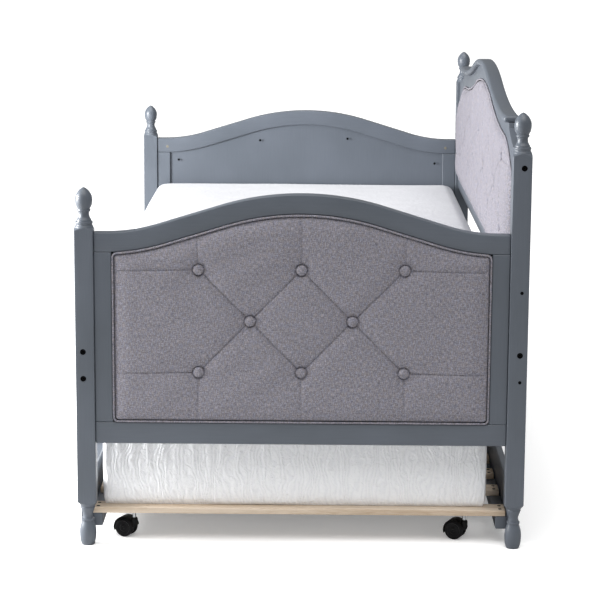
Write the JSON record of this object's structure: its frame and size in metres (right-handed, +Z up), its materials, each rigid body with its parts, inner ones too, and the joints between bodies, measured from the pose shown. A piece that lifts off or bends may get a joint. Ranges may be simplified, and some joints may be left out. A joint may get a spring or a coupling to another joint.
{
  "type": "daybed",
  "caption": "Wooden daybed with turned posts, arched tufted arms and back panel, slatted deck, mattress and a pull-out trundle bed on castors.",
  "frame": {"origin": "on the floor, under the middle of the bed", "axes": "+X along the bed, +Y towards the back panel, -Y is the open front that the trundle rolls out of, +Z up"},
  "size_m": [2.063, 1.07, 1.098],
  "materials": {
    "blue_grey_paint": "satin blue-grey paint on wood",
    "grey_tweed": "woven grey tweed",
    "mattress_cover": "white knitted cover",
    "coverlet": "white quilted cotton",
    "pine": "planed bare pine",
    "castor_plastic": "black moulded plastic",
    "bolt_steel": "black oxide"
  },
  "bodies": {
    "frame": {"back_board": "blue_grey_paint", "back_bottom_rail": "blue_grey_paint", "back_crest_cap": "blue_grey_paint", "back_crest_rail": "blue_grey_paint", "back_left_stile": "blue_grey_paint", "back_pad": "grey_tweed", "back_right_stile": "blue_grey_paint", "front_ledger": "pine", "front_side_rail": "blue_grey_paint", "left_arm_board": "blue_grey_paint", "left_arm_bottom_rail": "blue_grey_paint", "left_arm_front_stile": "blue_grey_paint", "left_arm_pad": "grey_tweed", "left_arm_rear_stile": "blue_grey_paint", "left_arm_top_rail": "blue_grey_paint", "left_front_lower_bolt": "bolt_steel", "left_front_post": "blue_grey_paint", "left_front_upper_bolt": "bolt_steel", "left_rear_panel_bolt": "bolt_steel", "left_rear_post": "blue_grey_paint", "left_rear_rail_bolt": "bolt_steel", "main_mattress": "mattress_cover", "main_slats": "pine", "rear_ledger": "pine", "rear_side_rail": "blue_grey_paint", "right_arm_board": "blue_grey_paint", "right_arm_bottom_rail": "blue_grey_paint", "right_arm_front_stile": "blue_grey_paint", "right_arm_pad": "grey_tweed", "right_arm_rear_stile": "blue_grey_paint", "right_arm_top_rail": "blue_grey_paint", "right_front_lower_bolt": "bolt_steel", "right_front_post": "blue_grey_paint", "right_front_upper_bolt": "bolt_steel", "right_rear_panel_bolt": "bolt_steel", "right_rear_post": "blue_grey_paint", "right_rear_rail_bolt": "bolt_steel"},
    "trundle": {"trundle_front_board": "blue_grey_paint", "trundle_front_ledger": "blue_grey_paint", "trundle_left_slat_1": "pine", "trundle_left_slat_2": "pine", "trundle_left_slat_3": "pine", "trundle_mattress": "coverlet", "trundle_middle_slats": "pine", "trundle_rear_board": "blue_grey_paint", "trundle_rear_ledger": "blue_grey_paint", "trundle_right_slat_1": "pine", "trundle_right_slat_2": "pine", "trundle_right_slat_3": "pine"},
    "right_front_castor_swivel": {"right_front_castor_housing": "castor_plastic"},
    "right_front_castor_wheel_pair": {"right_front_castor_wheels": "castor_plastic"},
    "right_rear_castor_swivel": {"right_rear_castor_housing": "castor_plastic"},
    "right_rear_castor_wheel_pair": {"right_rear_castor_wheels": "castor_plastic"},
    "left_front_castor_swivel": {"left_front_castor_housing": "castor_plastic"},
    "left_front_castor_wheel_pair": {"left_front_castor_wheels": "castor_plastic"},
    "left_rear_castor_swivel": {"left_rear_castor_housing": "castor_plastic"},
    "left_rear_castor_wheel_pair": {"left_rear_castor_wheels": "castor_plastic"}
  },
  "joints": [
    {"name": "trundle_roll_out", "type": "slide", "parent": "frame", "child": "trundle", "axis": [0, -1, 0], "range_m": [0, 1.05]},
    {"name": "right_front_castor_turn", "type": "hinge", "parent": "trundle", "child": "right_front_castor_swivel", "pos_m": [0.945, -0.4065, 0.06], "axis": [0, 0, 1], "continuous": true},
    {"name": "right_front_castor_spin", "type": "hinge", "parent": "right_front_castor_swivel", "child": "right_front_castor_wheel_pair", "pos_m": [0.9357, -0.42644, 0.023], "axis": [0.9063, -0.4226, 0], "continuous": true},
    {"name": "right_rear_castor_turn", "type": "hinge", "parent": "trundle", "child": "right_rear_castor_swivel", "pos_m": [0.945, 0.3995, 0.06], "axis": [0, 0, 1], "continuous": true},
    {"name": "right_rear_castor_spin", "type": "hinge", "parent": "right_rear_castor_swivel", "child": "right_rear_castor_wheel_pair", "pos_m": [0.9357, 0.37956, 0.023], "axis": [0.9063, -0.4226, 0], "continuous": true},
    {"name": "left_front_castor_turn", "type": "hinge", "parent": "trundle", "child": "left_front_castor_swivel", "pos_m": [-0.945, -0.4065, 0.06], "axis": [0, 0, 1], "continuous": true},
    {"name": "left_front_castor_spin", "type": "hinge", "parent": "left_front_castor_swivel", "child": "left_front_castor_wheel_pair", "pos_m": [-0.9543, -0.42644, 0.023], "axis": [0.9063, -0.4226, 0], "continuous": true},
    {"name": "left_rear_castor_turn", "type": "hinge", "parent": "trundle", "child": "left_rear_castor_swivel", "pos_m": [-0.945, 0.3995, 0.06], "axis": [0, 0, 1], "continuous": true},
    {"name": "left_rear_castor_spin", "type": "hinge", "parent": "left_rear_castor_swivel", "child": "left_rear_castor_wheel_pair", "pos_m": [-0.9543, 0.37956, 0.023], "axis": [0.9063, -0.4226, 0], "continuous": true}
  ]
}
